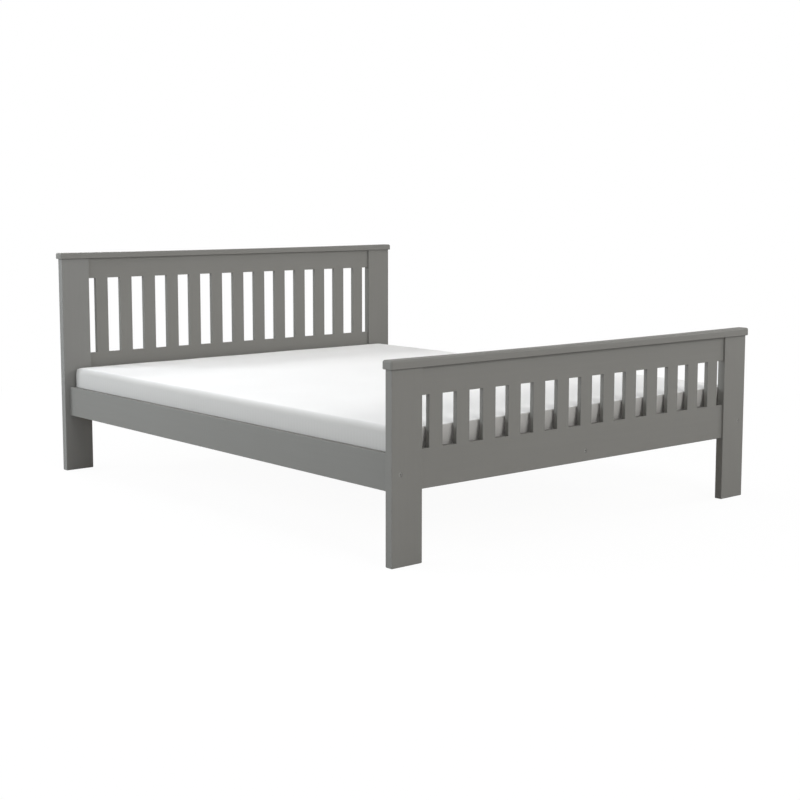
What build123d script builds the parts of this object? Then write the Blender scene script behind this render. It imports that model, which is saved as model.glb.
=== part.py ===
from build123d import *
from math import atan, cos, degrees, radians, sin, sqrt
import os

os.makedirs("parts", exist_ok=True)

# A painted wooden double bed with a slatted headboard and a lower slatted footboard.
# Side rails and a centre beam are bolted between the two ends with barrel nuts. Loose
# base slats on two tapes lie on ledgers and the beam, and carry a foam mattress.
# Millimetres. The origin is on the floor under the middle of the bed. +X is across the
# bed, +Y points to the head and +Z is up.

# Mattress: a plain foam block with round edges, a low crown and sides that pull in
mattress_width = 1604
mattress_length = 2008
mattress_edge_height = 113
mattress_crown = 5
mattress_draw_in = 4
mattress_corner_radius = 8
mattress_top_round = 20
mattress_bottom_round = 12
round_step_angles = (30, 60, 90)
crown_inset = 30
crown_run_shares = (0.12, 0.35, 0.65)

# Room left round the mattress inside the frame
mattress_side_room = 3
mattress_head_room = 9
mattress_foot_room = 9
mattress_under_room = 0.3

# Posts: flat boards that are also the legs
post_width = 120
post_thickness = 30
post_edge_radius = 2
post_foot_chamfer = 2
headboard_post_height = 858
footboard_post_height = 599

# End rails and slats, one thickness, centred in the posts
panel_thickness = 16
rail_edge_chamfer = 2
end_rail_bottom = 227
headboard_lower_rail_height = 246
headboard_top_rail_height = 81
footboard_lower_rail_height = 123
footboard_top_rail_height = 86
slat_count = 13
slat_width = 55
slat_end_gap = 33.5
slat_edge_chamfer = 1

# Cap rails over the posts and top rails, a little hollow along the top
headboard_cap_thickness = 24
footboard_cap_thickness = 27.5
cap_hollow = 3
cap_overhang = 8
cap_corner_radius = 8
cap_top_round = 7
cap_bottom_chamfer = 1.5

# Tenons and their mortises
tenon_thickness = 8
rail_tenon_length = 25
rail_tenon_shoulder = 12
slat_tenon_length = 15
slat_tenon_shoulder = 5
cap_tenon_height = 12
post_tenon_width = 80
top_rail_tenon_width = 100
top_rail_tenon_spacing = 700
side_tenon_thickness = 10
side_tenon_height = 22
side_tenon_spacing = 70
side_tenon_length = 12
leg_tenon_width = 25
leg_tenon_height = 15
glue_gap = 0.1
mortise_end_gap = 1

# Side rails, which butt against the posts
side_rail_thickness = 22
side_rail_height = 116
side_rail_bottom = 225
side_rail_inset = 23
side_rail_edge_radius = 2

# Base: ledgers, centre beam, its leg and the base slats with their tapes
base_slat_seat = 285
base_slat_count = 13
base_slat_width = 90
base_slat_thickness = 18
base_slat_edge_chamfer = 2
base_slat_end_room = 4
ledger_width = 25
ledger_height = 30
ledger_edge_radius = 2
ledger_nut_room = 9
beam_width = 45
beam_height = 44
beam_edge_radius = 2
leg_depth = 45
tape_width = 25
tape_thickness = 1
tape_inset = 380
tape_tail = 60

# Bolts with a low round head and a hexagon socket, and their barrel nuts
bolt_radius = 4
bolt_length = 70
bolt_head_radius = 6.5
bolt_head_height = 5
socket_radius = 2.9
socket_depth = 3
bolt_recess_radius = 7
bolt_recess_depth = 6
bolt_bore_radius = 4.5
bolt_end_room = 3
bolt_tip = 6
nut_radius = 6
nut_length = 14
nut_thread_radius = 4.1
nut_bore_radius = 6.1

# Outer sizes that follow
bed_width = mattress_width + 2 * (mattress_side_room + side_rail_thickness + side_rail_inset)
inner_length = mattress_length + mattress_head_room + mattress_foot_room
panel_width = bed_width - 2 * post_width
post_x = bed_width / 2 - post_width / 2
inner_face_y = inner_length / 2
end_y = inner_face_y + post_thickness / 2
side_rail_x = bed_width / 2 - side_rail_inset - side_rail_thickness / 2
side_rail_inner_x = side_rail_x - side_rail_thickness / 2
rail_seat_y = end_y - panel_thickness / 2
mattress_y = (mattress_foot_room - mattress_head_room) / 2
mattress_bottom = base_slat_seat + base_slat_thickness + mattress_under_room

# Slat spacing: equal gaps between the slats, a narrower one at each post
slat_run = panel_width - 2 * slat_end_gap - slat_width
slat_pitch = slat_run / (slat_count - 1)
slat_tenon_width = slat_width - 2 * slat_tenon_shoulder
base_slat_gap = (inner_length - base_slat_count * base_slat_width) / (base_slat_count + 1)
base_slat_pitch = base_slat_width + base_slat_gap

# Bolt places: the seat is the floor of the recess, and the nut sits near the bolt's tip
corner_bolt_z = side_rail_bottom + side_rail_height / 2
beam_bolt_z = base_slat_seat - beam_height / 2
nut_reach = bolt_length - bolt_tip
corner_nut_setback = nut_reach - (post_thickness - bolt_recess_depth)
beam_nut_setback = nut_reach - (panel_thickness - bolt_recess_depth)

# The two ends: name, which way they face along Y, and their heights
ENDS = {
    "headboard": (1, headboard_post_height, headboard_lower_rail_height, headboard_top_rail_height),
    "footboard": (-1, footboard_post_height, footboard_lower_rail_height, footboard_top_rail_height),
}
CAP_THICKNESS = {"headboard": headboard_cap_thickness, "footboard": footboard_cap_thickness}
HANDS = {"left": -1, "right": 1}


def facing(x, y, z, way_x=0, way_y=0, way_z=0):
    """A plane at a point whose normal points the given way, for holes, nuts and bolts."""
    return Plane(origin=(x, y, z), z_dir=(way_x, way_y, way_z))


def upright(x, y, z, way_x=0, way_y=0):
    """A plane standing on the point, whose Y is up and whose normal points level."""
    return Plane(origin=(x, y, z), x_dir=(-way_y, way_x, 0), z_dir=(way_x, way_y, 0))


def save(piece, node):
    """Labels a finished piece and writes it under its node's name."""
    piece.part.label = node
    export_step(piece.part, f"parts/{node}.step")


# Posts

def make_post(end, hand):
    """A post with eased edges: rail mortises, a bolt bore and a stub tenon for the cap."""
    way, height, lower_height, top_height = ENDS[end]
    side = HANDS[hand]
    inner_y = way * inner_face_y
    outer_y = way * (inner_face_y + post_thickness)
    with BuildPart() as post:
        with BuildSketch(Plane((side * post_x, way * end_y, 0))):
            Rectangle(post_width, post_thickness)
        extrude(amount=height)
        fillet(post.edges().filter_by(Axis.Z), post_edge_radius)
        chamfer(post.edges().group_by(Axis.Z)[0], post_foot_chamfer)
        # The cap's tenon
        with BuildSketch(Plane((side * post_x, way * end_y, height))):
            Rectangle(post_tenon_width, tenon_thickness)
        extrude(amount=cap_tenon_height)
        # Mortises for the tenons of the two end rails
        for low, rail_height in (
            (end_rail_bottom, lower_height),
            (height - top_height, top_height),
        ):
            middle_z = low + rail_height / 2
            tenon_height = rail_height - 2 * rail_tenon_shoulder
            with BuildSketch(upright(side * panel_width / 2, way * end_y, middle_z, way_x=-side)):
                Rectangle(tenon_thickness + 2 * glue_gap, tenon_height + 2 * glue_gap)
            extrude(amount=-(rail_tenon_length + mortise_end_gap), mode=Mode.SUBTRACT)
        # The side rail's two stub tenons, with its bolt between them
        with BuildSketch(upright(side * side_rail_x, inner_y, corner_bolt_z, way_y=-way)):
            with GridLocations(0, side_tenon_spacing, 1, 2):
                Rectangle(side_tenon_thickness + 2 * glue_gap, side_tenon_height + 2 * glue_gap)
        extrude(amount=-(side_tenon_length + mortise_end_gap), mode=Mode.SUBTRACT)
        with Locations(facing(side * side_rail_x, outer_y, corner_bolt_z, way_y=way)):
            CounterBoreHole(bolt_bore_radius, bolt_recess_radius, bolt_recess_depth)
    return post


# End rails

def make_end_rail(end, low, high, mortise_z, mortise_way):
    """A rail tenoned into both posts, with a row of slat mortises in one long edge."""
    way = ENDS[end][0]
    middle_z = (low + high) / 2
    tenon_height = high - low - 2 * rail_tenon_shoulder
    with BuildPart() as rail:
        with BuildSketch(Plane((0, way * end_y, low))):
            Rectangle(panel_width, panel_thickness)
        extrude(amount=high - low)
        for side in (-1, 1):
            with BuildSketch(upright(side * panel_width / 2, way * end_y, middle_z, way_x=side)):
                Rectangle(tenon_thickness, tenon_height)
            extrude(amount=rail_tenon_length)
        with BuildSketch(Plane((0, way * end_y, mortise_z))):
            with GridLocations(slat_pitch, 0, slat_count, 1):
                Rectangle(slat_tenon_width + 2 * glue_gap, tenon_thickness + 2 * glue_gap)
        extrude(amount=mortise_way * (slat_tenon_length + mortise_end_gap), mode=Mode.SUBTRACT)
    return rail


def make_lower_rail(end):
    """The lower rail, which also takes the centre beam's bolt in a recess on its outer face."""
    way, _, lower_height, _ = ENDS[end]
    top = end_rail_bottom + lower_height
    outer_y = way * (end_y + panel_thickness / 2)
    with BuildPart() as lower_rail:
        add(make_end_rail(end, end_rail_bottom, top, top, -1))
        low_edges = lower_rail.edges().filter_by(Axis.X).group_by(Axis.Z)[0]
        chamfer(low_edges, rail_edge_chamfer)
        with Locations(facing(0, outer_y, beam_bolt_z, way_y=way)):
            CounterBoreHole(bolt_bore_radius, bolt_recess_radius, bolt_recess_depth)
    return lower_rail


def make_top_rail(end):
    """The top rail, flush with the tops of the posts, with two stub tenons for the cap."""
    way, height, _, top_height = ENDS[end]
    low = height - top_height
    with BuildPart() as top_rail:
        add(make_end_rail(end, low, height, low, 1))
        with BuildSketch(Plane((0, way * end_y, height))):
            with GridLocations(top_rail_tenon_spacing, 0, 2, 1):
                Rectangle(top_rail_tenon_width, tenon_thickness)
        extrude(amount=cap_tenon_height)
    return top_rail


# Slats of the two ends

def make_slat(end, index):
    """A slat between the rails, flush with them, with a stub tenon at each end."""
    way, height, lower_height, top_height = ENDS[end]
    low = end_rail_bottom + lower_height
    high = height - top_height
    x = slat_pitch * (index - (slat_count - 1) / 2)
    with BuildPart() as slat:
        with BuildSketch(Plane((x, way * end_y, low))):
            Rectangle(slat_width, panel_thickness)
        extrude(amount=high - low)
        chamfer(slat.edges().filter_by(Axis.Z), slat_edge_chamfer)
        with BuildSketch(Plane((x, way * end_y, low - slat_tenon_length))):
            Rectangle(slat_tenon_width, tenon_thickness)
        extrude(amount=high - low + 2 * slat_tenon_length)
    return slat


# Cap rails

def make_cap(end):
    """The cap: its top dips to the middle, with a large round on its edge. Mortises lie below."""
    way, height, _, _ = ENDS[end]
    thickness = CAP_THICKNESS[end]
    half_length = bed_width / 2 + cap_overhang
    half_depth = post_thickness / 2 + cap_overhang
    with BuildPart() as cap:
        with BuildSketch(upright(0, way * end_y, height, way_y=-1)):
            with BuildLine():
                Polyline(
                    (-half_length, thickness),
                    (-half_length, 0),
                    (half_length, 0),
                    (half_length, thickness),
                )
                ThreePointArc(
                    (half_length, thickness),
                    (0, thickness - cap_hollow),
                    (-half_length, thickness),
                )
            make_face()
        extrude(amount=half_depth, both=True)
        fillet(cap.edges().filter_by(Axis.Z), cap_corner_radius)
        chamfer(cap.edges().group_by(Axis.Z)[0], cap_bottom_chamfer)
        fillet(cap.faces().sort_by(Axis.Z)[-1].outer_wire().edges(), cap_top_round)
        with BuildSketch(Plane((0, way * end_y, height))):
            with GridLocations(2 * post_x, 0, 2, 1):
                Rectangle(post_tenon_width + 2 * glue_gap, tenon_thickness + 2 * glue_gap)
            with GridLocations(top_rail_tenon_spacing, 0, 2, 1):
                Rectangle(top_rail_tenon_width + 2 * glue_gap, tenon_thickness + 2 * glue_gap)
        extrude(amount=cap_tenon_height + mortise_end_gap, mode=Mode.SUBTRACT)
    return cap


# Both ends, piece by piece

for end in ENDS:
    for hand in HANDS:
        save(make_post(end, hand), f"{end}_post_{hand}")
    save(make_lower_rail(end), f"{end}_lower_rail")
    save(make_top_rail(end), f"{end}_top_rail")
    save(make_cap(end), f"{end}_cap_rail")
    for index in range(slat_count):
        save(make_slat(end, index), f"{end}_slat_{index + 1:02d}")


# Side rails and ledgers

for hand, side in HANDS.items():
    with BuildPart() as side_rail:
        with BuildSketch(Plane((side * side_rail_x, 0, side_rail_bottom))):
            Rectangle(side_rail_thickness, inner_length)
        extrude(amount=side_rail_height)
        fillet(side_rail.edges().filter_by(Axis.Y), side_rail_edge_radius)
        for way in (-1, 1):
            end_y_now = way * inner_face_y
            with BuildSketch(upright(side * side_rail_x, end_y_now, corner_bolt_z, way_y=way)):
                with GridLocations(0, side_tenon_spacing, 1, 2):
                    Rectangle(side_tenon_thickness, side_tenon_height)
            extrude(amount=side_tenon_length)
            with Locations(facing(side * side_rail_x, end_y_now, corner_bolt_z, way_y=way)):
                Hole(bolt_bore_radius, corner_nut_setback + bolt_tip + bolt_end_room)
            nut_y = way * (inner_face_y - corner_nut_setback)
            with Locations(facing(side * side_rail_inner_x, nut_y, corner_bolt_z, way_x=-side)):
                Hole(nut_bore_radius, (side_rail_thickness + nut_length) / 2)
    save(side_rail, f"side_rail_{hand}")

    ledger_length = inner_length - 2 * (corner_nut_setback + nut_radius + ledger_nut_room)
    with BuildPart() as ledger:
        ledger_x = side * (side_rail_inner_x - ledger_width / 2)
        with BuildSketch(Plane((ledger_x, 0, base_slat_seat - ledger_height))):
            Rectangle(ledger_width, ledger_length)
        extrude(amount=ledger_height)
        free_edges = ledger.edges().filter_by(Axis.Y).sort_by(Axis.X)
        fillet(free_edges[:2] if side > 0 else free_edges[2:], ledger_edge_radius)
    save(ledger, f"ledger_{hand}")


# Centre beam and its leg

beam_length = 2 * rail_seat_y
beam_bottom = base_slat_seat - beam_height
with BuildPart() as centre_beam:
    with BuildSketch(Plane((0, 0, beam_bottom))):
        Rectangle(beam_width, beam_length)
    extrude(amount=beam_height)
    fillet(centre_beam.edges().filter_by(Axis.Y), beam_edge_radius)
    for way in (-1, 1):
        with Locations(facing(0, way * rail_seat_y, beam_bolt_z, way_y=way)):
            Hole(bolt_bore_radius, beam_nut_setback + bolt_tip + bolt_end_room)
        nut_y = way * (rail_seat_y - beam_nut_setback)
        with Locations(facing(-beam_width / 2, nut_y, beam_bolt_z, way_x=-1)):
            Hole(nut_bore_radius, (beam_width + nut_length) / 2)
    with BuildSketch(Plane((0, 0, beam_bottom))):
        Rectangle(leg_tenon_width + 2 * glue_gap, leg_tenon_width + 2 * glue_gap)
    extrude(amount=leg_tenon_height + mortise_end_gap, mode=Mode.SUBTRACT)
save(centre_beam, "centre_beam")

with BuildPart() as centre_leg:
    with BuildSketch():
        Rectangle(beam_width, leg_depth)
    extrude(amount=beam_bottom)
    fillet(centre_leg.edges().filter_by(Axis.Z), beam_edge_radius)
    with BuildSketch(Plane((0, 0, beam_bottom))):
        Rectangle(leg_tenon_width, leg_tenon_width)
    extrude(amount=leg_tenon_height)
save(centre_leg, "centre_leg")


# Base slats, each across both ledgers and the beam, and the two tapes that link them

base_slat_length = 2 * (side_rail_inner_x - base_slat_end_room)
for index in range(base_slat_count):
    slat_y = base_slat_pitch * (index - (base_slat_count - 1) / 2)
    with BuildPart() as base_slat:
        with BuildSketch(Plane((0, slat_y, base_slat_seat))):
            Rectangle(base_slat_length, base_slat_width)
        extrude(amount=base_slat_thickness)
        chamfer(base_slat.edges().filter_by(Axis.X), base_slat_edge_chamfer)
    save(base_slat, f"base_slat_{index + 1:02d}")

tape_length = base_slat_pitch * (base_slat_count - 1) + tape_tail
tape_spacing = base_slat_length - 2 * tape_inset
with BuildPart() as slat_tapes:
    with BuildSketch(Plane((0, 0, base_slat_seat - tape_thickness))):
        with GridLocations(tape_spacing, 0, 2, 1):
            Rectangle(tape_width, tape_length)
    extrude(amount=tape_thickness)
save(slat_tapes, "slat_tapes")


# Bolts and barrel nuts: one at each corner and one at each end of the beam

corner_seat_y = inner_face_y + post_thickness - bolt_recess_depth
beam_seat_y = end_y + panel_thickness / 2 - bolt_recess_depth
bolt_seats = [
    facing(side * side_rail_x, way * corner_seat_y, corner_bolt_z, way_y=way)
    for way in (-1, 1)
    for side in (-1, 1)
] + [facing(0, way * beam_seat_y, beam_bolt_z, way_y=way) for way in (-1, 1)]

with BuildPart() as bed_bolts:
    with Locations(*bolt_seats):
        Cylinder(bolt_radius, bolt_length, align=(Align.CENTER, Align.CENTER, Align.MAX))
        Cylinder(bolt_head_radius, bolt_head_height, align=(Align.CENTER, Align.CENTER, Align.MIN))
    with BuildSketch(*[seat.offset(bolt_head_height) for seat in bolt_seats]):
        RegularPolygon(socket_radius, 6)
    extrude(amount=-socket_depth, mode=Mode.SUBTRACT)
save(bed_bolts, "bed_bolts")

nut_centres = [seat.offset(-nut_reach) for seat in bolt_seats]
with BuildPart() as barrel_nuts:
    with Locations(*[facing(*centre.origin, way_x=1) for centre in nut_centres]):
        Cylinder(nut_radius, nut_length)
    with Locations(*nut_centres):
        Cylinder(nut_thread_radius, 2 * nut_bore_radius, mode=Mode.SUBTRACT)
save(barrel_nuts, "barrel_nuts")


# Mattress: level sections from the flat underside up over the rounded edge

# Each level is an inset from the widest outline and a height over the mattress's underside
levels = [(mattress_bottom_round, 0)]
for angle in round_step_angles:
    level_inset = mattress_bottom_round * (1 - sin(radians(angle)))
    levels.append((level_inset, mattress_bottom_round * (1 - cos(radians(angle)))))
top_round_start = mattress_edge_height - mattress_top_round
levels.append((0, top_round_start))
for angle in round_step_angles:
    level_inset = mattress_top_round * (1 - cos(radians(angle)))
    levels.append((level_inset, top_round_start + mattress_top_round * sin(radians(angle))))

# At each level the outline has small round corners, and sides that pull in between them
corner_mid = mattress_corner_radius * (1 - sqrt(0.5))
with BuildPart() as mattress:
    for inset, level in levels:
        half_x = mattress_width / 2 - inset
        half_y = mattress_length / 2 - inset
        flat_x = half_x - mattress_corner_radius
        flat_y = half_y - mattress_corner_radius
        with BuildSketch(Plane((0, mattress_y, mattress_bottom + level))):
            with BuildLine():
                for side in (-1, 1):
                    drawn_x = side * (half_x - mattress_draw_in)
                    drawn_y = side * (half_y - mattress_draw_in)
                    ThreePointArc((-flat_x, side * half_y), (0, drawn_y), (flat_x, side * half_y))
                    ThreePointArc((side * half_x, -flat_y), (drawn_x, 0), (side * half_x, flat_y))
                    for way in (-1, 1):
                        ThreePointArc(
                            (side * flat_x, way * half_y),
                            (side * (half_x - corner_mid), way * (half_y - corner_mid)),
                            (side * half_x, way * flat_y),
                        )
            make_face()
    loft(ruled=True)
    # The crown: level rectangles on top, each sloping up to the next
    run = mattress_width / 2 - crown_inset
    rise_from = 0
    share_from = 0
    for share in crown_run_shares:
        rise = mattress_crown * (1 - (1 - share / crown_run_shares[-1]) ** 2)
        inset = crown_inset + share_from * run
        step_run = (share - share_from) * run
        step_rise = rise - rise_from
        level = mattress_bottom + mattress_edge_height + rise_from
        with BuildSketch(Plane((0, mattress_y, level))):
            Rectangle(mattress_width - 2 * inset, mattress_length - 2 * inset)
        extrude(amount=step_rise, taper=degrees(atan(step_run / step_rise)))
        rise_from = rise
        share_from = share
save(mattress, "mattress")

print("bed over the posts", bed_width, "by", inner_length + 2 * post_thickness)
print("slat gap", round(slat_pitch - slat_width, 2), "base slat gap", round(base_slat_gap, 2))
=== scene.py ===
# %% [markdown]
# A painted double bed, step by step
#
# The bed is a slatted headboard and a lower slatted footboard, joined by two side rails. Its wooden
# boards come from the CAD model and keep their shape here. This lesson gives them paint and grain,
# makes the mattress and the small screws, and lights the bed as in a bright plain studio.
# All lengths are metres. The origin is on the floor under the middle of the bed. The head is at +Y.

# %% Load the CAD frame
import math
import bpy
import bmesh
from mathutils import Euler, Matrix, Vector, noise


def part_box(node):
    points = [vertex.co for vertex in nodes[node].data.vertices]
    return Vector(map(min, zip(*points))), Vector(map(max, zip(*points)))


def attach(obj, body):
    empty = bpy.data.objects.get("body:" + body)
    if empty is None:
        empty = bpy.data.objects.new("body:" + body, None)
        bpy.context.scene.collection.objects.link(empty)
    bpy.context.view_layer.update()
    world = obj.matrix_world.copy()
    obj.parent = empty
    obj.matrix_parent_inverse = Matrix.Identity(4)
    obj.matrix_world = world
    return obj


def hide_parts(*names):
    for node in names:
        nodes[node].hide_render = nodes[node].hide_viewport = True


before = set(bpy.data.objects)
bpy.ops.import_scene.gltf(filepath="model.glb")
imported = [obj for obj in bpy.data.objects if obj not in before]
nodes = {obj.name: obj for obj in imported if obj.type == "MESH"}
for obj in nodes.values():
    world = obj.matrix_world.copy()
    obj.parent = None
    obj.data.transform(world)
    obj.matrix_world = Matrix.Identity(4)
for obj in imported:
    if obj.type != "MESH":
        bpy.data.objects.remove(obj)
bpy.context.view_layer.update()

# %% [markdown]
# The camera
#
# The photograph was taken from the foot end, to the left of the bed, about as high as a seated
# person's eyes. A long lens keeps the far headboard large. The lens, place and tilt were worked out
# from the bed's straight edges, and the small shift stands for the photograph's crop.

# %% The camera
camera_place = (-3.5535, -4.2713, 1.0995)
camera_tilt = math.radians(90 - 6.547)
camera_turn = math.radians(-39.896)
camera_data = bpy.data.cameras.new("studio_camera")
camera_data.sensor_fit = "HORIZONTAL"
camera_data.sensor_width = 36.0
camera_data.lens = 65.05
camera_data.shift_x = 0.01179
camera_data.shift_y = -0.04475
camera_data.clip_end = 100.0
camera = bpy.data.objects.new("studio_camera", camera_data)
camera.location = camera_place
camera.rotation_euler = Euler((camera_tilt, 0, camera_turn))
bpy.context.scene.collection.objects.link(camera)
bpy.context.scene.camera = camera
print("camera", tuple(round(x, 3) for x in camera.location), "lens", camera_data.lens)

# %% [markdown]
# The background and the floor
#
# The bed stands in front of plain white. The world is painted white only for the camera and for
# mirrored and see-through rays, so the light on the bed stays as it is. The floor answers other
# rays as a pale matt floor does. To the camera it is mostly white as well, with a share of real
# shading left in near the bed, so that a soft shadow stays.

# %% A white world with its own light level
scene = bpy.context.scene
scene.view_settings.view_transform = "Standard"
world = bpy.data.worlds.new("studio_world")
scene.world = world
world.use_nodes = True
tree = world.node_tree
tree.nodes.clear()


def seen_directly(tree):
    """Light Path's camera, glossy and transmission rays as one factor."""
    path = tree.nodes.new("ShaderNodeLightPath")
    first = tree.nodes.new("ShaderNodeMath")
    first.operation = "MAXIMUM"
    tree.links.new(path.outputs["Is Camera Ray"], first.inputs[0])
    tree.links.new(path.outputs["Is Glossy Ray"], first.inputs[1])
    second = tree.nodes.new("ShaderNodeMath")
    second.operation = "MAXIMUM"
    tree.links.new(first.outputs[0], second.inputs[0])
    tree.links.new(path.outputs["Is Transmission Ray"], second.inputs[1])
    return second.outputs[0]


white = tree.nodes.new("ShaderNodeBackground")
white.inputs["Color"].default_value = (1, 1, 1, 1)
white.inputs["Strength"].default_value = 1.0
fill = tree.nodes.new("ShaderNodeBackground")
fill.inputs["Color"].default_value = (1.0, 0.985, 0.955, 1)
fill.inputs["Strength"].default_value = 0.04
mix = tree.nodes.new("ShaderNodeMixShader")
out = tree.nodes.new("ShaderNodeOutputWorld")
tree.links.new(seen_directly(tree), mix.inputs["Fac"])
tree.links.new(fill.outputs[0], mix.inputs[1])
tree.links.new(white.outputs[0], mix.inputs[2])
tree.links.new(mix.outputs[0], out.inputs["Surface"])
print("world", world.name, "with", len(tree.nodes), "nodes")

# %% The floor
floor_mesh = bpy.data.meshes.new("studio_floor")
floor_half = 30.0
floor_drop = 0.0005  # a hair below the posts' ends
floor_mesh.from_pydata(
    [(-floor_half, -floor_half, 0), (floor_half, -floor_half, 0),
     (floor_half, floor_half, 0), (-floor_half, floor_half, 0)],
    [], [(0, 1, 2, 3)],
)
floor = bpy.data.objects.new("studio_floor", floor_mesh)
floor.location.z = -floor_drop
scene.collection.objects.link(floor)
print("floor", floor_half * 2, "m across")

# %% The floor's material
shadow_most = 0.05
shadow_near = 1.5
shadow_far = 3.5
floor_material = bpy.data.materials.new("studio_floor_white")
floor_material.use_nodes = True
tree = floor_material.node_tree
tree.nodes.clear()
matt = tree.nodes.new("ShaderNodeBsdfDiffuse")
matt.inputs["Color"].default_value = (0.5, 0.5, 0.5, 1)
pale = tree.nodes.new("ShaderNodeBsdfDiffuse")
pale.inputs["Color"].default_value = (1, 1, 1, 1)
glow = tree.nodes.new("ShaderNodeEmission")
glow.inputs["Strength"].default_value = 1.0
floor_place = tree.nodes.new("ShaderNodeTexCoord")
from_bed = tree.nodes.new("ShaderNodeVectorMath")
from_bed.operation = "LENGTH"
tree.links.new(floor_place.outputs["Object"], from_bed.inputs[0])
fade = tree.nodes.new("ShaderNodeMapRange")
fade.inputs["From Min"].default_value = shadow_near
fade.inputs["From Max"].default_value = shadow_far
fade.inputs["To Min"].default_value = shadow_most
fade.inputs["To Max"].default_value = 0.0
tree.links.new(from_bed.outputs["Value"], fade.inputs["Value"])
shadow_share = tree.nodes.new("ShaderNodeMixShader")
tree.links.new(fade.outputs["Result"], shadow_share.inputs["Fac"])
tree.links.new(glow.outputs[0], shadow_share.inputs[1])
tree.links.new(pale.outputs[0], shadow_share.inputs[2])
to_camera = tree.nodes.new("ShaderNodeMixShader")
tree.links.new(seen_directly(tree), to_camera.inputs["Fac"])
tree.links.new(matt.outputs[0], to_camera.inputs[1])
tree.links.new(shadow_share.outputs[0], to_camera.inputs[2])
out = tree.nodes.new("ShaderNodeOutputMaterial")
tree.links.new(to_camera.outputs[0], out.inputs["Surface"])
floor_mesh.materials.append(floor_material)
print("shadow kept up to", shadow_far, "m from the middle, at most", shadow_most)

# %% [markdown]
# The lamps
#
# Wide soft lamps stand round the bed, as in a studio for white backgrounds. The one overhead and
# the high one at the back make the mattress's top the brightest thing. The two on the left are a
# little cooler, so the side rail looks lighter and bluer than the footboard. Those in front and on
# the right light the footboard and the headboard evenly, and a low one behind the headboard does
# the same for the bed's back. Big lamps give the soft edges that the photograph's shadows have.

# %% Nine soft lamps


def soft_lamp(name, place, aim, size, energy, color):
    """A square area lamp at a place, aimed at a point."""
    data = bpy.data.lights.new(name, "AREA")
    data.shape = "SQUARE"
    data.size = size
    data.energy = energy
    data.color = color
    lamp = bpy.data.objects.new(name, data)
    lamp.location = place
    lamp.rotation_euler = (Vector(aim) - Vector(place)).to_track_quat("-Z", "Y").to_euler()
    scene.collection.objects.link(lamp)


neutral = (1.0, 1.0, 1.0)
cool = (0.9, 0.95, 1.0)
soft_lamp("overhead_softbox", (-0.6, -0.4, 4.2), (0, 0, 0.4), 3.2, 54, neutral)
soft_lamp("left_back_softbox", (-4.4, 3.0, 2.5), (-0.8, 0.6, 0.3), 2.2, 165, cool)
soft_lamp("left_softbox", (-4.6, 0.2, 1.5), (-0.8, 0.4, 0.3), 2.4, 88, cool)
soft_lamp("left_front_softbox", (-4.2, -4.6, 2.2), (-0.3, -0.5, 0.4), 2.4, 48, neutral)
soft_lamp("front_softbox", (-0.5, -5.5, 2.2), (0, -0.5, 0.4), 3.0, 133, neutral)
soft_lamp("right_front_softbox", (3.5, -4.5, 2.4), (0, -0.5, 0.4), 2.4, 57, neutral)
soft_lamp("right_softbox", (5.2, -2.2, 2.4), (0, -0.5, 0.4), 2.4, 158, neutral)
soft_lamp("back_softbox", (-1.0, 4.2, 4.4), (0, 0.4, 0.4), 1.2, 56, neutral)
soft_lamp("headboard_back_softbox", (1.0, 5.5, 1.5), (0, 1.0, 0.4), 2.4, 105, neutral)

# %% [markdown]
# Shader groups that the finishes share
#
# Grain is the same thing in a painted board and in a bare one: long fibres that run with the board
# and bands between them. It is built once as a node group. The coordinate is squeezed along the
# board, so round blots of noise stretch into fibres. A second group gives a fine even unevenness:
# the skin of a rolled paint film, the dull bloom on zinc, or the loft of a knitted cover.

# %% Helpers for node groups


def new_group(name, inputs, outputs):
    """An empty shader group with named sockets; returns the tree and its two end nodes."""
    group = bpy.data.node_groups.new(name, "ShaderNodeTree")
    for socket_name, kind, value in inputs:
        socket = group.interface.new_socket(name=socket_name, in_out="INPUT", socket_type=kind)
        socket.default_value = value
    for socket_name, kind in outputs:
        group.interface.new_socket(name=socket_name, in_out="OUTPUT", socket_type=kind)
    return group, group.nodes.new("NodeGroupInput"), group.nodes.new("NodeGroupOutput")


def stretched_place(tree, socket):
    """The point in the bed's own coordinates, multiplied by a vector socket."""
    place = tree.nodes.new("ShaderNodeTexCoord")
    stretch = tree.nodes.new("ShaderNodeVectorMath")
    stretch.operation = "MULTIPLY"
    tree.links.new(place.outputs["Object"], stretch.inputs[0])
    tree.links.new(socket, stretch.inputs[1])
    return stretch.outputs[0]


# %% The grain group
grain_group, group_in, group_out = new_group(
    "board_grain",
    [("Stretch", "NodeSocketVector", (40.0, 40.0, 2.0)), ("Waviness", "NodeSocketFloat", 0.4)],
    [("Fibres", "NodeSocketFloat"), ("Bands", "NodeSocketFloat"), ("Tone", "NodeSocketFloat")],
)
place = stretched_place(grain_group, group_in.outputs["Stretch"])
fibres = grain_group.nodes.new("ShaderNodeTexNoise")
fibres.inputs["Scale"].default_value = 9.0
fibres.inputs["Detail"].default_value = 5.0
fibres.inputs["Roughness"].default_value = 0.65
grain_group.links.new(place, fibres.inputs["Vector"])
bands = grain_group.nodes.new("ShaderNodeTexNoise")
bands.inputs["Scale"].default_value = 1.6
bands.inputs["Detail"].default_value = 2.0
grain_group.links.new(place, bands.inputs["Vector"])
grain_group.links.new(group_in.outputs["Waviness"], bands.inputs["Distortion"])
tone = grain_group.nodes.new("ShaderNodeTexNoise")
tone.inputs["Scale"].default_value = 0.22
tone.inputs["Detail"].default_value = 1.0
grain_group.links.new(place, tone.inputs["Vector"])
grain_group.links.new(fibres.outputs["Fac"], group_out.inputs["Fibres"])
grain_group.links.new(bands.outputs["Fac"], group_out.inputs["Bands"])
grain_group.links.new(tone.outputs["Fac"], group_out.inputs["Tone"])
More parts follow.
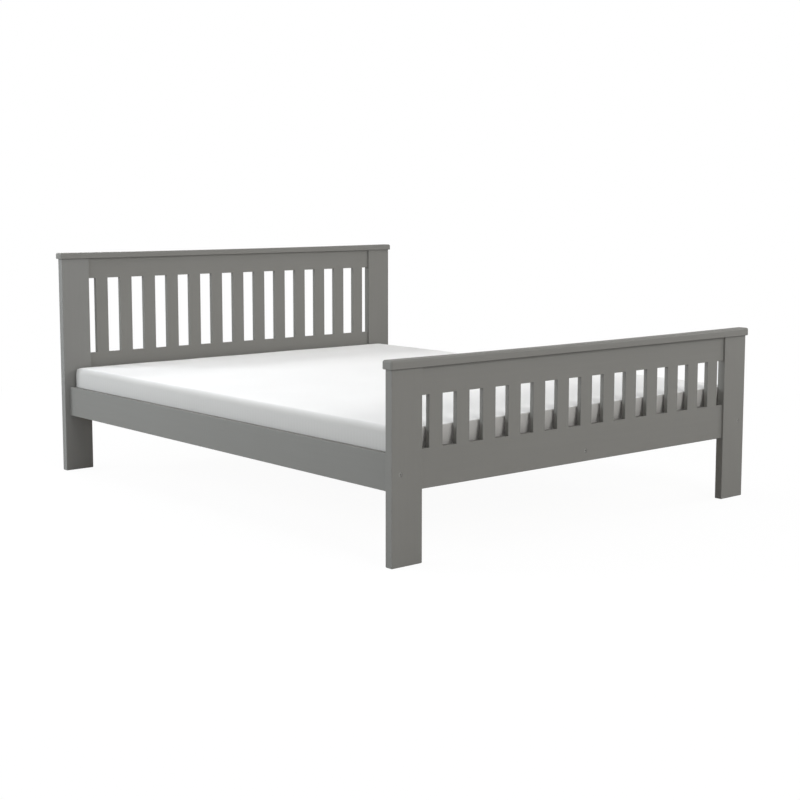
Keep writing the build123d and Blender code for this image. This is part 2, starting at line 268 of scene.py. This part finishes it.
print("group", grain_group.name)

# %% The fine unevenness group
skin_group, group_in, group_out = new_group(
    "fine_skin",
    [("Size", "NodeSocketFloat", 0.004)],
    [("Height", "NodeSocketFloat"), ("Patches", "NodeSocketFloat")],
)
place = skin_group.nodes.new("ShaderNodeTexCoord")
fineness = skin_group.nodes.new("ShaderNodeMath")
fineness.operation = "DIVIDE"
fineness.inputs[0].default_value = 1.0
skin_group.links.new(group_in.outputs["Size"], fineness.inputs[1])
peel = skin_group.nodes.new("ShaderNodeTexNoise")
peel.inputs["Detail"].default_value = 1.0
skin_group.links.new(place.outputs["Object"], peel.inputs["Vector"])
skin_group.links.new(fineness.outputs[0], peel.inputs["Scale"])
patches = skin_group.nodes.new("ShaderNodeTexNoise")
patches.inputs["Scale"].default_value = 4.0
patches.inputs["Detail"].default_value = 3.0
skin_group.links.new(place.outputs["Object"], patches.inputs["Vector"])
skin_group.links.new(peel.outputs["Fac"], group_out.inputs["Height"])
skin_group.links.new(patches.outputs["Fac"], group_out.inputs["Patches"])
print("group", skin_group.name)

# %% Helpers for materials
mix_first, mix_second, mix_result = 6, 7, 2  # the colour sockets of a Mix node
noise_low, noise_high = 0.3, 0.7  # where most of a noise value lies


def new_material(name, roughness):
    """A Principled material; returns it with its tree and shader."""
    material = bpy.data.materials.new(name)
    material.use_nodes = True
    shader = material.node_tree.nodes["Principled BSDF"]
    shader.inputs["Roughness"].default_value = roughness
    return material, material.node_tree, shader


def use_group(tree, group, **values):
    """Places a shader group and sets its named inputs."""
    node = tree.nodes.new("ShaderNodeGroup")
    node.node_tree = group
    for name, value in values.items():
        node.inputs[name].default_value = value
    return node


def between(tree, factor, low, high):
    """Maps a noise value to a number between low and high."""
    node = tree.nodes.new("ShaderNodeMapRange")
    node.inputs["From Min"].default_value = noise_low
    node.inputs["From Max"].default_value = noise_high
    node.inputs["To Min"].default_value = low
    node.inputs["To Max"].default_value = high
    tree.links.new(factor, node.inputs["Value"])
    return node.outputs["Result"]


def color_between(tree, factor, dark, light):
    """Mixes two colours by a noise value."""
    ramp = tree.nodes.new("ShaderNodeValToRGB")
    first, last = ramp.color_ramp.elements
    first.position, first.color = noise_low, (*dark, 1)
    last.position, last.color = noise_high, (*light, 1)
    tree.links.new(factor, ramp.inputs["Fac"])
    return ramp.outputs["Color"]


def shaded(tree, color, factor, amount):
    """Darkens and lightens a colour a little by a noise value."""
    node = tree.nodes.new("ShaderNodeMix")
    node.data_type = "RGBA"
    node.blend_type = "MULTIPLY"
    node.inputs["Factor"].default_value = 1.0
    shade = color_between(tree, factor, (1 - amount,) * 3, (1 + amount,) * 3)
    tree.links.new(color, node.inputs[mix_first])
    tree.links.new(shade, node.inputs[mix_second])
    return node.outputs[mix_result]


def bump(tree, shader, height, strength, distance):
    """A bump from a height, chained after any bump already on the shader's normal."""
    node = tree.nodes.new("ShaderNodeBump")
    node.inputs["Strength"].default_value = strength
    node.inputs["Distance"].default_value = distance
    tree.links.new(height, node.inputs["Height"])
    if shader.inputs["Normal"].links:
        tree.links.new(shader.inputs["Normal"].links[0].from_socket, node.inputs["Normal"])
    tree.links.new(node.outputs["Normal"], shader.inputs["Normal"])


# %% [markdown]
# Satin paint
#
# The frame is sprayed in a warm mid grey. The film hides the wood's colour, but a little of the
# grain still shows through it as relief, and the film itself is not quite flat. So the colour
# hardly changes, and the roughness and two fine bumps do the work. Boards run three ways in the
# bed, so there are three versions of the one finish, each with its grain along its boards. The
# headboard's left post gets a copy of the paint a shade paler: painted light, for the brighter
# light that falls on that post.

# %% Paint, one version for each direction of the boards
along = {"x": (2.5, 60.0, 60.0), "y": (60.0, 2.5, 60.0), "z": (60.0, 60.0, 2.5)}
paint_light = (0.173, 0.170, 0.158)
paint_dark = (0.167, 0.164, 0.152)
# painted light: a paler grey for the headboard's left post, for the brighter light that falls on it
painted_light_high = (0.187, 0.185, 0.175)
painted_light_low = (0.181, 0.179, 0.169)


def make_paint(name, direction, dark, light):
    """Sprayed paint over boards whose grain runs one way."""
    material, tree, shader = new_material(f"{name}_{direction}", 0.5)
    shader.inputs["Specular IOR Level"].default_value = 0.1
    grain = use_group(tree, grain_group, Stretch=along[direction], Waviness=0.6)
    skin = use_group(tree, skin_group, Size=0.0035)
    color = color_between(tree, skin.outputs["Patches"], dark, light)
    color = shaded(tree, color, grain.outputs["Bands"], amount=0.012)
    dullness = between(tree, skin.outputs["Patches"], low=0.56, high=0.64)
    tree.links.new(color, shader.inputs["Base Color"])
    tree.links.new(dullness, shader.inputs["Roughness"])
    bump(tree, shader, grain.outputs["Fibres"], strength=0.10, distance=0.0006)
    bump(tree, shader, skin.outputs["Height"], strength=0.08, distance=0.0004)
    return material


paint = {}
for direction in along:
    paint[direction] = make_paint("grey_satin_paint", direction, paint_dark, paint_light)
# the paler copy is painted light, not a different paint
painted_light_paint = make_paint("painted_light_satin_paint", "z", painted_light_low, painted_light_high)
print("paint", [m.name for m in paint.values()], painted_light_paint.name)

# %% [markdown]
# Bare pine
#
# What the mattress hides is left unpainted: the base slats, the ledgers, the beam and its leg.
# Planed pine is pale yellow, with darker late wood in long bands and a fine fibre over them, so the
# same grain group now drives the colour as well as the relief.

# %% Pine, one version for each direction
late_wood = (0.50, 0.31, 0.155)
early_wood = (0.70, 0.50, 0.29)


def make_pine(direction):
    """Bare planed boards whose grain runs one way."""
    material, tree, shader = new_material(f"planed_pine_{direction}", 0.6)
    grain = use_group(tree, grain_group, Stretch=along[direction], Waviness=1.2)
    color = color_between(tree, grain.outputs["Bands"], late_wood, early_wood)
    color = shaded(tree, color, grain.outputs["Fibres"], amount=0.10)
    color = shaded(tree, color, grain.outputs["Tone"], amount=0.12)
    dullness = between(tree, grain.outputs["Fibres"], low=0.52, high=0.68)
    tree.links.new(color, shader.inputs["Base Color"])
    tree.links.new(dullness, shader.inputs["Roughness"])
    bump(tree, shader, grain.outputs["Fibres"], strength=0.25, distance=0.0006)
    return material


pine = {direction: make_pine(direction) for direction in along}
print("pine", [m.name for m in pine.values()])

# %% [markdown]
# Steel, and the woven tape
#
# The barrel nuts, screws and staples are zinc-plated and slightly dull, so the metal keeps a
# middling roughness with cloudy patches. The bolts are coated in the paint's grey, so that little
# more than the shadow in each recess shows from afar. The base slats hang together on two flat
# A tape is a plain weave: two crossed waves give its threads, and their relief catches the light.
# Its colour is painted darker in the hollows between the threads and lighter on their tops, as
# painted shade.

# %% Steel


def make_steel(name, metallic, dark, light, smooth, rough):
    """Bare or coated steel with cloudy patches between two colours and two roughness values."""
    material, tree, shader = new_material(name, rough)
    shader.inputs["Metallic"].default_value = metallic
    skin = use_group(tree, skin_group, Size=0.0015)
    color = color_between(tree, skin.outputs["Patches"], dark, light)
    dullness = between(tree, skin.outputs["Height"], smooth, rough)
    tree.links.new(color, shader.inputs["Base Color"])
    tree.links.new(dullness, shader.inputs["Roughness"])
    bump(tree, shader, skin.outputs["Height"], strength=0.1, distance=0.0001)
    return material


steel = make_steel(
    "zinc_plated_steel", metallic=1.0, dark=(0.50, 0.50, 0.49), light=(0.62, 0.62, 0.61),
    smooth=0.28, rough=0.45,
)
coated_steel = make_steel(
    "grey_coated_steel", metallic=0.0, dark=(0.183, 0.180, 0.169), light=(0.203, 0.200, 0.188),
    smooth=0.45, rough=0.55,
)
print("steel", steel.name, coated_steel.name)

# %% The crossed threads group, for the tape and for the mattress's cover
thread_group, group_in, group_out = new_group(
    "crossed_threads",
    [("Across", "NodeSocketVector", (1.0, 0.0, 0.0)),
     ("Along", "NodeSocketVector", (0.0, 1.0, 0.0)),
     ("Threads per metre", "NodeSocketFloat", 800.0)],
    [("Height", "NodeSocketFloat")],
)
place = thread_group.nodes.new("ShaderNodeTexCoord")
waves = []
for direction in ("Across", "Along"):
    reach = thread_group.nodes.new("ShaderNodeVectorMath")
    reach.operation = "DOT_PRODUCT"
    thread_group.links.new(place.outputs["Object"], reach.inputs[0])
    thread_group.links.new(group_in.outputs[direction], reach.inputs[1])
    turns = thread_group.nodes.new("ShaderNodeMath")
    turns.operation = "MULTIPLY"
    thread_group.links.new(reach.outputs["Value"], turns.inputs[0])
    thread_group.links.new(group_in.outputs["Threads per metre"], turns.inputs[1])
    angle = thread_group.nodes.new("ShaderNodeMath")
    angle.operation = "MULTIPLY"
    angle.inputs[1].default_value = math.pi
    thread_group.links.new(turns.outputs[0], angle.inputs[0])
    wave = thread_group.nodes.new("ShaderNodeMath")
    wave.operation = "SINE"
    thread_group.links.new(angle.outputs[0], wave.inputs[0])
    waves.append(wave)
crossed = thread_group.nodes.new("ShaderNodeMath")
crossed.operation = "MULTIPLY"
thread_group.links.new(waves[0].outputs[0], crossed.inputs[0])
thread_group.links.new(waves[1].outputs[0], crossed.inputs[1])
lifted = thread_group.nodes.new("ShaderNodeMapRange")
lifted.inputs["From Min"].default_value = -1.0
thread_group.links.new(crossed.outputs[0], lifted.inputs["Value"])
thread_group.links.new(lifted.outputs["Result"], group_out.inputs["Height"])
print("group", thread_group.name)

# %% Tape
tape_shade = (0.56, 0.53, 0.47)
tape_light = (0.74, 0.71, 0.65)
tape, tree, shader = new_material("natural_woven_tape", 0.9)
threads = use_group(tree, thread_group)
threads.inputs["Threads per metre"].default_value = 900.0
# painted shade: the tape's colour darkens in the hollows between threads and lightens on their tops
tape_color = color_between(tree, threads.outputs["Height"], tape_shade, tape_light)
tree.links.new(tape_color, shader.inputs["Base Color"])
bump(tree, shader, threads.outputs["Height"], strength=0.5, distance=0.0004)
print("tape", tape.name)

# %% [markdown]
# Giving each board its finish
#
# A CAD node keeps its mesh and only gets a material. Its name says which way it runs: posts and
# slats stand up, end rails and caps lie across the bed, side rails and the beam run along it.

# %% Materials for the CAD nodes


def finish_for(name):
    """The material for a CAD node, from its name."""
    if name == "mattress":
        return None
    if name == "bed_bolts":
        return coated_steel
    if name == "barrel_nuts":
        return steel
    if name == "slat_tapes":
        return tape
    if name.startswith("base_slat"):
        return pine["x"]
    if name == "centre_leg":
        return pine["z"]
    if name.startswith("ledger") or name == "centre_beam":
        return pine["y"]
    if name.startswith("side_rail"):
        return paint["y"]
    # painted light: the left head post gets the paler copy of the paint, for the brighter light on
    # it
    if name == "headboard_post_left":
        return painted_light_paint
    if "post" in name or "_slat_" in name:
        return paint["z"]
    return paint["x"]


dressed = 0
for name, node in nodes.items():
    finish = finish_for(name)
    if finish is not None:
        node.data.materials.clear()
        node.data.materials.append(finish)
        dressed += 1
print("dressed", dressed, "of", len(nodes), "nodes")

# %% [markdown]
# The mattress
#
# A foam mattress is a firm block in a stretched knitted cover. Its top swells very slightly and
# rolls softly over the long sides. Between the corners the cover pulls those in. The two ends have
# a tighter edge and swell a little towards the slats. At the foot end, where people sit down, the
# upper edge has slipped outwards and the lower edge inwards by about a centimetre. Nothing hangs
# or folds, so the mattress is built directly: closed rings of points climb from the underside,
# round the edge and over the top. A cloth simulation would only move such a block by fractions of
# a millimetre.

# %% The mattress's sizes, read from its CAD solid
mattress_low, mattress_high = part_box("mattress")
half_x = (mattress_high.x - mattress_low.x) / 2
half_y = (mattress_high.y - mattress_low.y) / 2
middle_x = (mattress_high.x + mattress_low.x) / 2
middle_y = (mattress_high.y + mattress_low.y) / 2
crown = 0.005
edge_top = mattress_high.z - crown
corner_radius = 0.005
corner_growth = 0.5  # how much of an inset the corners' radius gains
bottom_round = 0.012
side_round = 0.028
end_round = 0.006
side_pull = 0.003
crown_reach = 0.94 * half_x  # how far in from the sides the last ring lies
print("mattress", round(2 * half_x, 4), round(2 * half_y, 4), "from", round(mattress_low.z, 4))

# %% How its ends and its top depart from a plain block
end_reach = 0.3  # how far from an end its swell begins
head_swell = 0.005
head_fade_top = 0.9  # from this share of the height upwards, the head's swell is gone
head_fade = 0.2  # and over this share below that, it fades
foot_swell = 0.0095
foot_lean = 0.024
foot_lean_power = 1.5
foot_sag = 0.0045
foot_slope = 0.10  # how far from the foot end the sag begins
ripple_size = 0.22
ripple_height = 0.001
print("foot end: upper edge", foot_swell, "out, lower edge", round(foot_lean - foot_swell, 4), "in")

# %% Rings of points round the mattress
corner_steps = 8
end_steps = 64
side_steps = 80


def ring(side_inset, end_inset, corner, side_height, end_height, firmness):
    """One closed outline. The long sides and the two ends have their own inset and height."""
    flat_x = half_x - side_inset - corner
    flat_y = half_y - end_inset - corner
    points = []

    def add_point(x, y, end_share):
        height = side_height + (end_height - side_height) * end_share
        points.append(Vector((middle_x + x, middle_y + y, height)))

    for start, sx, sy, steps, next_x, next_y in (
        (0, 1, 1, end_steps, -1, 1),
        (90, -1, 1, side_steps, -1, -1),
        (180, -1, -1, end_steps, 1, -1),
        (270, 1, -1, side_steps, 1, 1),
    ):
        for step in range(corner_steps):
            turn = math.radians(start + 90 * step / corner_steps)
            nx, ny = math.cos(turn), math.sin(turn)
            add_point(sx * flat_x + corner * nx, sy * flat_y + corner * ny, ny * ny)
        turn = math.radians(start + 90)
        nx, ny = round(math.cos(turn)), round(math.sin(turn))
        pull = 0 if ny else side_pull
        for step in range(steps):
            share = step / steps
            out = corner - pull * firmness * math.sin(math.pi * share) ** 2
            add_point((sx + (next_x - sx) * share) * flat_x + nx * out,
                      (sy + (next_y - sy) * share) * flat_y + ny * out, ny * ny)
    return points


def ripple(point, size, amount):
    """A smooth small offset that depends on where the point is."""
    return amount * noise.noise(point / size)


# %% Rings round the lower edge and up the sides
bottom_steps = 5
side_levels = 8
rings = []
for step in range(bottom_steps + 1):
    turn = math.radians(90 * step / bottom_steps)
    inset = bottom_round * (1 - math.sin(turn))
    height = mattress_low.z + bottom_round * (1 - math.cos(turn))
    firmness = 1 - inset / bottom_round
    rings.append(ring(inset, inset, corner_radius + inset, height, height, firmness))
start = mattress_low.z + bottom_round
for step in range(1, side_levels):
    share = step / side_levels
    rings.append(ring(0, 0, corner_radius, start + (edge_top - side_round - start) * share,
                      start + (edge_top - end_round - start) * share, 1))
print("rings so far", len(rings))

# %% Rings over the upper edge and in to the middle of the top
edge_steps = 12
crown_rings = 26
crown_crowding = 1.6  # above 1, the rings lie closer together near the edge
crown_fall = 2.2  # above 1, the top is flat in the middle and falls near the edge
for step in range(edge_steps + 1):
    turn = math.radians(90 * step / edge_steps)
    side_inset = side_round * (1 - math.cos(turn))
    end_inset = end_round * (1 - math.cos(turn))
    rings.append(ring(side_inset, end_inset, corner_radius + corner_growth * side_inset,
                      edge_top - side_round * (1 - math.sin(turn)),
                      edge_top - end_round * (1 - math.sin(turn)), 1))
for step in range(1, crown_rings + 1):
    share = (step / crown_rings) ** crown_crowding
    height = edge_top + crown * (1 - (1 - share) ** crown_fall)
    rings.append(ring(side_round + share * (crown_reach - side_round),
                      end_round + share * (crown_reach - end_round),
                      corner_radius + corner_growth * side_round, height, height, 1 - share))
print("rings", len(rings), "of", len(rings[0]), "points")

# %% Skin the rings
mesh = bpy.data.meshes.new("mattress_foam_block")
bm = bmesh.new()
rows = [[bm.verts.new(point) for point in points] for points in rings]
count = len(rows[0])
for low_row, high_row in zip(rows, rows[1:]):
    for i in range(count):
        j = (i + 1) % count
        bm.faces.new((low_row[i], low_row[j], high_row[j], high_row[i]))
bm.faces.new(reversed(rows[0]))
bm.faces.new(rows[-1])
print("mattress faces", len(bm.faces))

# %% Shape the ends, and let the top ripple a little
for vert in bm.verts:
    height_share = (vert.co.z - mattress_low.z) / (mattress_high.z - mattress_low.z)
    vert.co.z += ripple(vert.co, ripple_size, ripple_height) * height_share
    from_head = half_y - (vert.co.y - middle_y)
    from_foot = half_y + (vert.co.y - middle_y)
    under_edge = min(1, max(0, (head_fade_top - height_share) / head_fade))
    vert.co.y += head_swell * under_edge * max(0, 1 - from_head / end_reach) ** 2
    foot_out = foot_swell - foot_lean * max(0, 1 - height_share) ** foot_lean_power
    vert.co.y -= foot_out * max(0, 1 - from_foot / end_reach) ** 2
    vert.co.z -= foot_sag * height_share * max(0, 1 - from_foot / foot_slope) ** 2
bm.normal_update()
bm.to_mesh(mesh)
bm.free()
for polygon in mesh.polygons:
    polygon.use_smooth = True
mattress = bpy.data.objects.new("mattress_foam_block", mesh)
scene.collection.objects.link(mattress)
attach(mattress, "mattress")
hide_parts("mattress")
print("mattress mesh", len(mesh.vertices), "points")

# %% [markdown]
# The mattress's cover
#
# The cover is a fine knit: white on top, and grey round the border. The grey is partly a grey
# border yarn, such as stronger covers are knitted from, and partly painted shade of the sides. The
# two fade into each other over the rounded edge, so the mix follows how far the surface leans
# over. From a distance both are plain and soft. Close up they show small stitches, which come from
# the crossed threads, with a little painted shade in their hollows.

# %% The knit and its white yarn
white_shade = (0.836, 0.827, 0.814)
white_light = (0.856, 0.847, 0.834)
cover, tree, shader = new_material("white_knitted_cover", 0.85)
shader.inputs["Sheen Weight"].default_value = 0.1
shader.inputs["Sheen Roughness"].default_value = 0.5
shader.inputs["Specular IOR Level"].default_value = 0.2
skin = use_group(tree, skin_group, Size=0.02)
threads = use_group(tree, thread_group)
threads.inputs["Across"].default_value = (0.8, 0.6, 0.45)
threads.inputs["Along"].default_value = (-0.6, 0.8, 0.45)
threads.inputs["Threads per metre"].default_value = 650.0
white_yarn = color_between(tree, skin.outputs["Patches"], white_shade, white_light)
print("cover", cover.name)

# %% The grey yarn and painted shade, mixed in by how far the surface leans over
# painted shade: this grey stands partly for a grey border yarn and partly for the shade on the
# mattress's sides
grey_yarn_and_painted_shade = (0.390, 0.380, 0.362, 1)
white_shares = [(0.30, 0.01), (0.45, 0.055), (0.60, 0.13), (0.70, 0.23),
                (0.80, 0.34), (0.90, 0.56), (0.97, 0.84), (0.985, 1.0)]
underside_share = 0.07
lean = tree.nodes.new("ShaderNodeTexCoord")
facing_up = tree.nodes.new("ShaderNodeSeparateXYZ")
tree.links.new(lean.outputs["Normal"], facing_up.inputs[0])
# the share of white falls as the surface leans over, painting the sides' shade into the colour
yarn_and_shade_share = tree.nodes.new("ShaderNodeValToRGB")
yarn_and_shade_share.color_ramp.elements[0].color = (underside_share, underside_share, underside_share, 1)
for position, share in white_shares:
    yarn_and_shade_share.color_ramp.elements.new(position).color = (share, share, share, 1)
tree.links.new(facing_up.outputs["Z"], yarn_and_shade_share.inputs["Fac"])
yarns = tree.nodes.new("ShaderNodeMix")
yarns.data_type = "RGBA"
yarns.inputs[mix_first].default_value = grey_yarn_and_painted_shade
tree.links.new(yarn_and_shade_share.outputs["Color"], yarns.inputs["Factor"])
tree.links.new(white_yarn, yarns.inputs[mix_second])
# painted shade and highlight: the knit's colour darkens a little in the hollows between stitches
# and lightens on their tops
knit = shaded(tree, yarns.outputs[mix_result], threads.outputs["Height"], amount=0.02)
tree.links.new(knit, shader.inputs["Base Color"])
bump(tree, shader, threads.outputs["Height"], strength=0.25, distance=0.0003)
bump(tree, shader, skin.outputs["Height"], strength=0.15, distance=0.0008)
mesh.materials.append(cover)
print("yarns mixed at", len(yarn_and_shade_share.color_ramp.elements), "slopes")

# %% [markdown]
# Screws in the ledgers
#
# Each ledger is screwed to its side rail from inside the bed. Only the heads show. One head is a
# slightly domed disc with a cross recess, and copies of it are joined into one mesh.

# %% One screw head
screw_radius = 0.0042
screw_steps = 24
# Each loop's plain radius and its growth at the cross's arms, as shares, and its height.
screw_loops = [(1.0, 0.0, 0.0), (0.94, 0.0, 0.00035), (0.62, 0.0, 0.0005),
               (0.16, 0.38, 0.0005), (0.08, 0.30, -0.0012)]
arm_sharpness = 8


def add_screw(bm, centre, outward, radius):
    """A slightly domed head that stands on its board, with a cross-shaped recess."""
    up = Vector((0, 0, 1))
    side = up.cross(outward).normalized()

    def at(r, angle, out):
        return centre + (side * math.cos(angle) + up * math.sin(angle)) * r + outward * out

    loops = []
    for plain, growth, out in screw_loops:
        loop = []
        for i in range(screw_steps):
            angle = 2 * math.pi * i / screw_steps
            arm = max(abs(math.cos(angle)), abs(math.sin(angle))) ** arm_sharpness
            loop.append(bm.verts.new(at(radius * (plain + growth * arm), angle, out)))
        loops.append(loop)
    for outer, inner in zip(loops, loops[1:]):
        for i in range(screw_steps):
            j = (i + 1) % screw_steps
            bm.faces.new((outer[i], outer[j], inner[j], inner[i]))
    bm.faces.new(loops[-1])


print("one head is", round(2000 * screw_radius, 1), "mm across")

# %% Screw heads along both ledgers
screw_mesh = bpy.data.meshes.new("ledger_screws")
bm = bmesh.new()
screws_each = 8
for hand in ("left", "right"):
    low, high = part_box(f"ledger_{hand}")
    side = -1 if hand == "left" else 1
    inner_x = high.x if side < 0 else low.x
    for number in range(screws_each):
        share = (number + 0.5) / screws_each
        centre = Vector((inner_x, low.y + (high.y - low.y) * share, (low.z + high.z) / 2))
        add_screw(bm, centre, Vector((-side, 0, 0)), screw_radius)
bm.normal_update()
bm.to_mesh(screw_mesh)
bm.free()
screws = bpy.data.objects.new("ledger_screws", screw_mesh)
scene.collection.objects.link(screws)
screw_mesh.materials.append(steel)
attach(screws, "frame")
print("screws", 2 * screws_each)

# %% [markdown]
# Staples on the tapes
#
# Each slat is held to each tape by one wire staple, driven from below. It is a short bar of wire
# with its ends turned up into the wood. At a bend the wire's outline is tilted, so that it mitres.

# %% Staples
staple_mesh = bpy.data.meshes.new("tape_staples")
bm = bmesh.new()
wire = 0.0005  # the wire's radius
bar_half = 0.005
leg_height = 0.0009  # how far the legs reach up, from the tape's lower face
wire_sides = 6
tape_half = 0.0125  # half the tape's width
tape_low, tape_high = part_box("slat_tapes")
for name in sorted(n for n in nodes if n.startswith("base_slat")):
    low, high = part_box(name)
    middle = (low.y + high.y) / 2
    for side in (-1, 1):
        x = side * (tape_high.x - tape_half)
        path = [Vector((x - bar_half, middle, tape_low.z + leg_height)),
                Vector((x - bar_half, middle, tape_low.z - wire)),
                Vector((x + bar_half, middle, tape_low.z - wire)),
                Vector((x + bar_half, middle, tape_low.z + leg_height))]
        loops = []
        for number, point in enumerate(path):
            at_bend = number in (1, 2)
            loop = []
            for turn in range(wire_sides):
                angle = math.pi * turn / (wire_sides / 2)
                across = Vector((0, math.cos(angle) * wire, 0))
                rise = math.sin(angle) * wire
                offset = Vector((rise if number < 2 else -rise, 0, rise if at_bend else 0))
                loop.append(bm.verts.new(point + across + offset))
            loops.append(loop)
        for first, second in zip(loops, loops[1:]):
            for turn in range(wire_sides):
                after = (turn + 1) % wire_sides
                bm.faces.new((first[turn], first[after], second[after], second[turn]))
bmesh.ops.recalc_face_normals(bm, faces=bm.faces)
bm.to_mesh(staple_mesh)
bm.free()
staples = bpy.data.objects.new("tape_staples", staple_mesh)
scene.collection.objects.link(staples)
staple_mesh.materials.append(steel)
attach(staples, "frame")
print("staples", len(staple_mesh.vertices), "points")
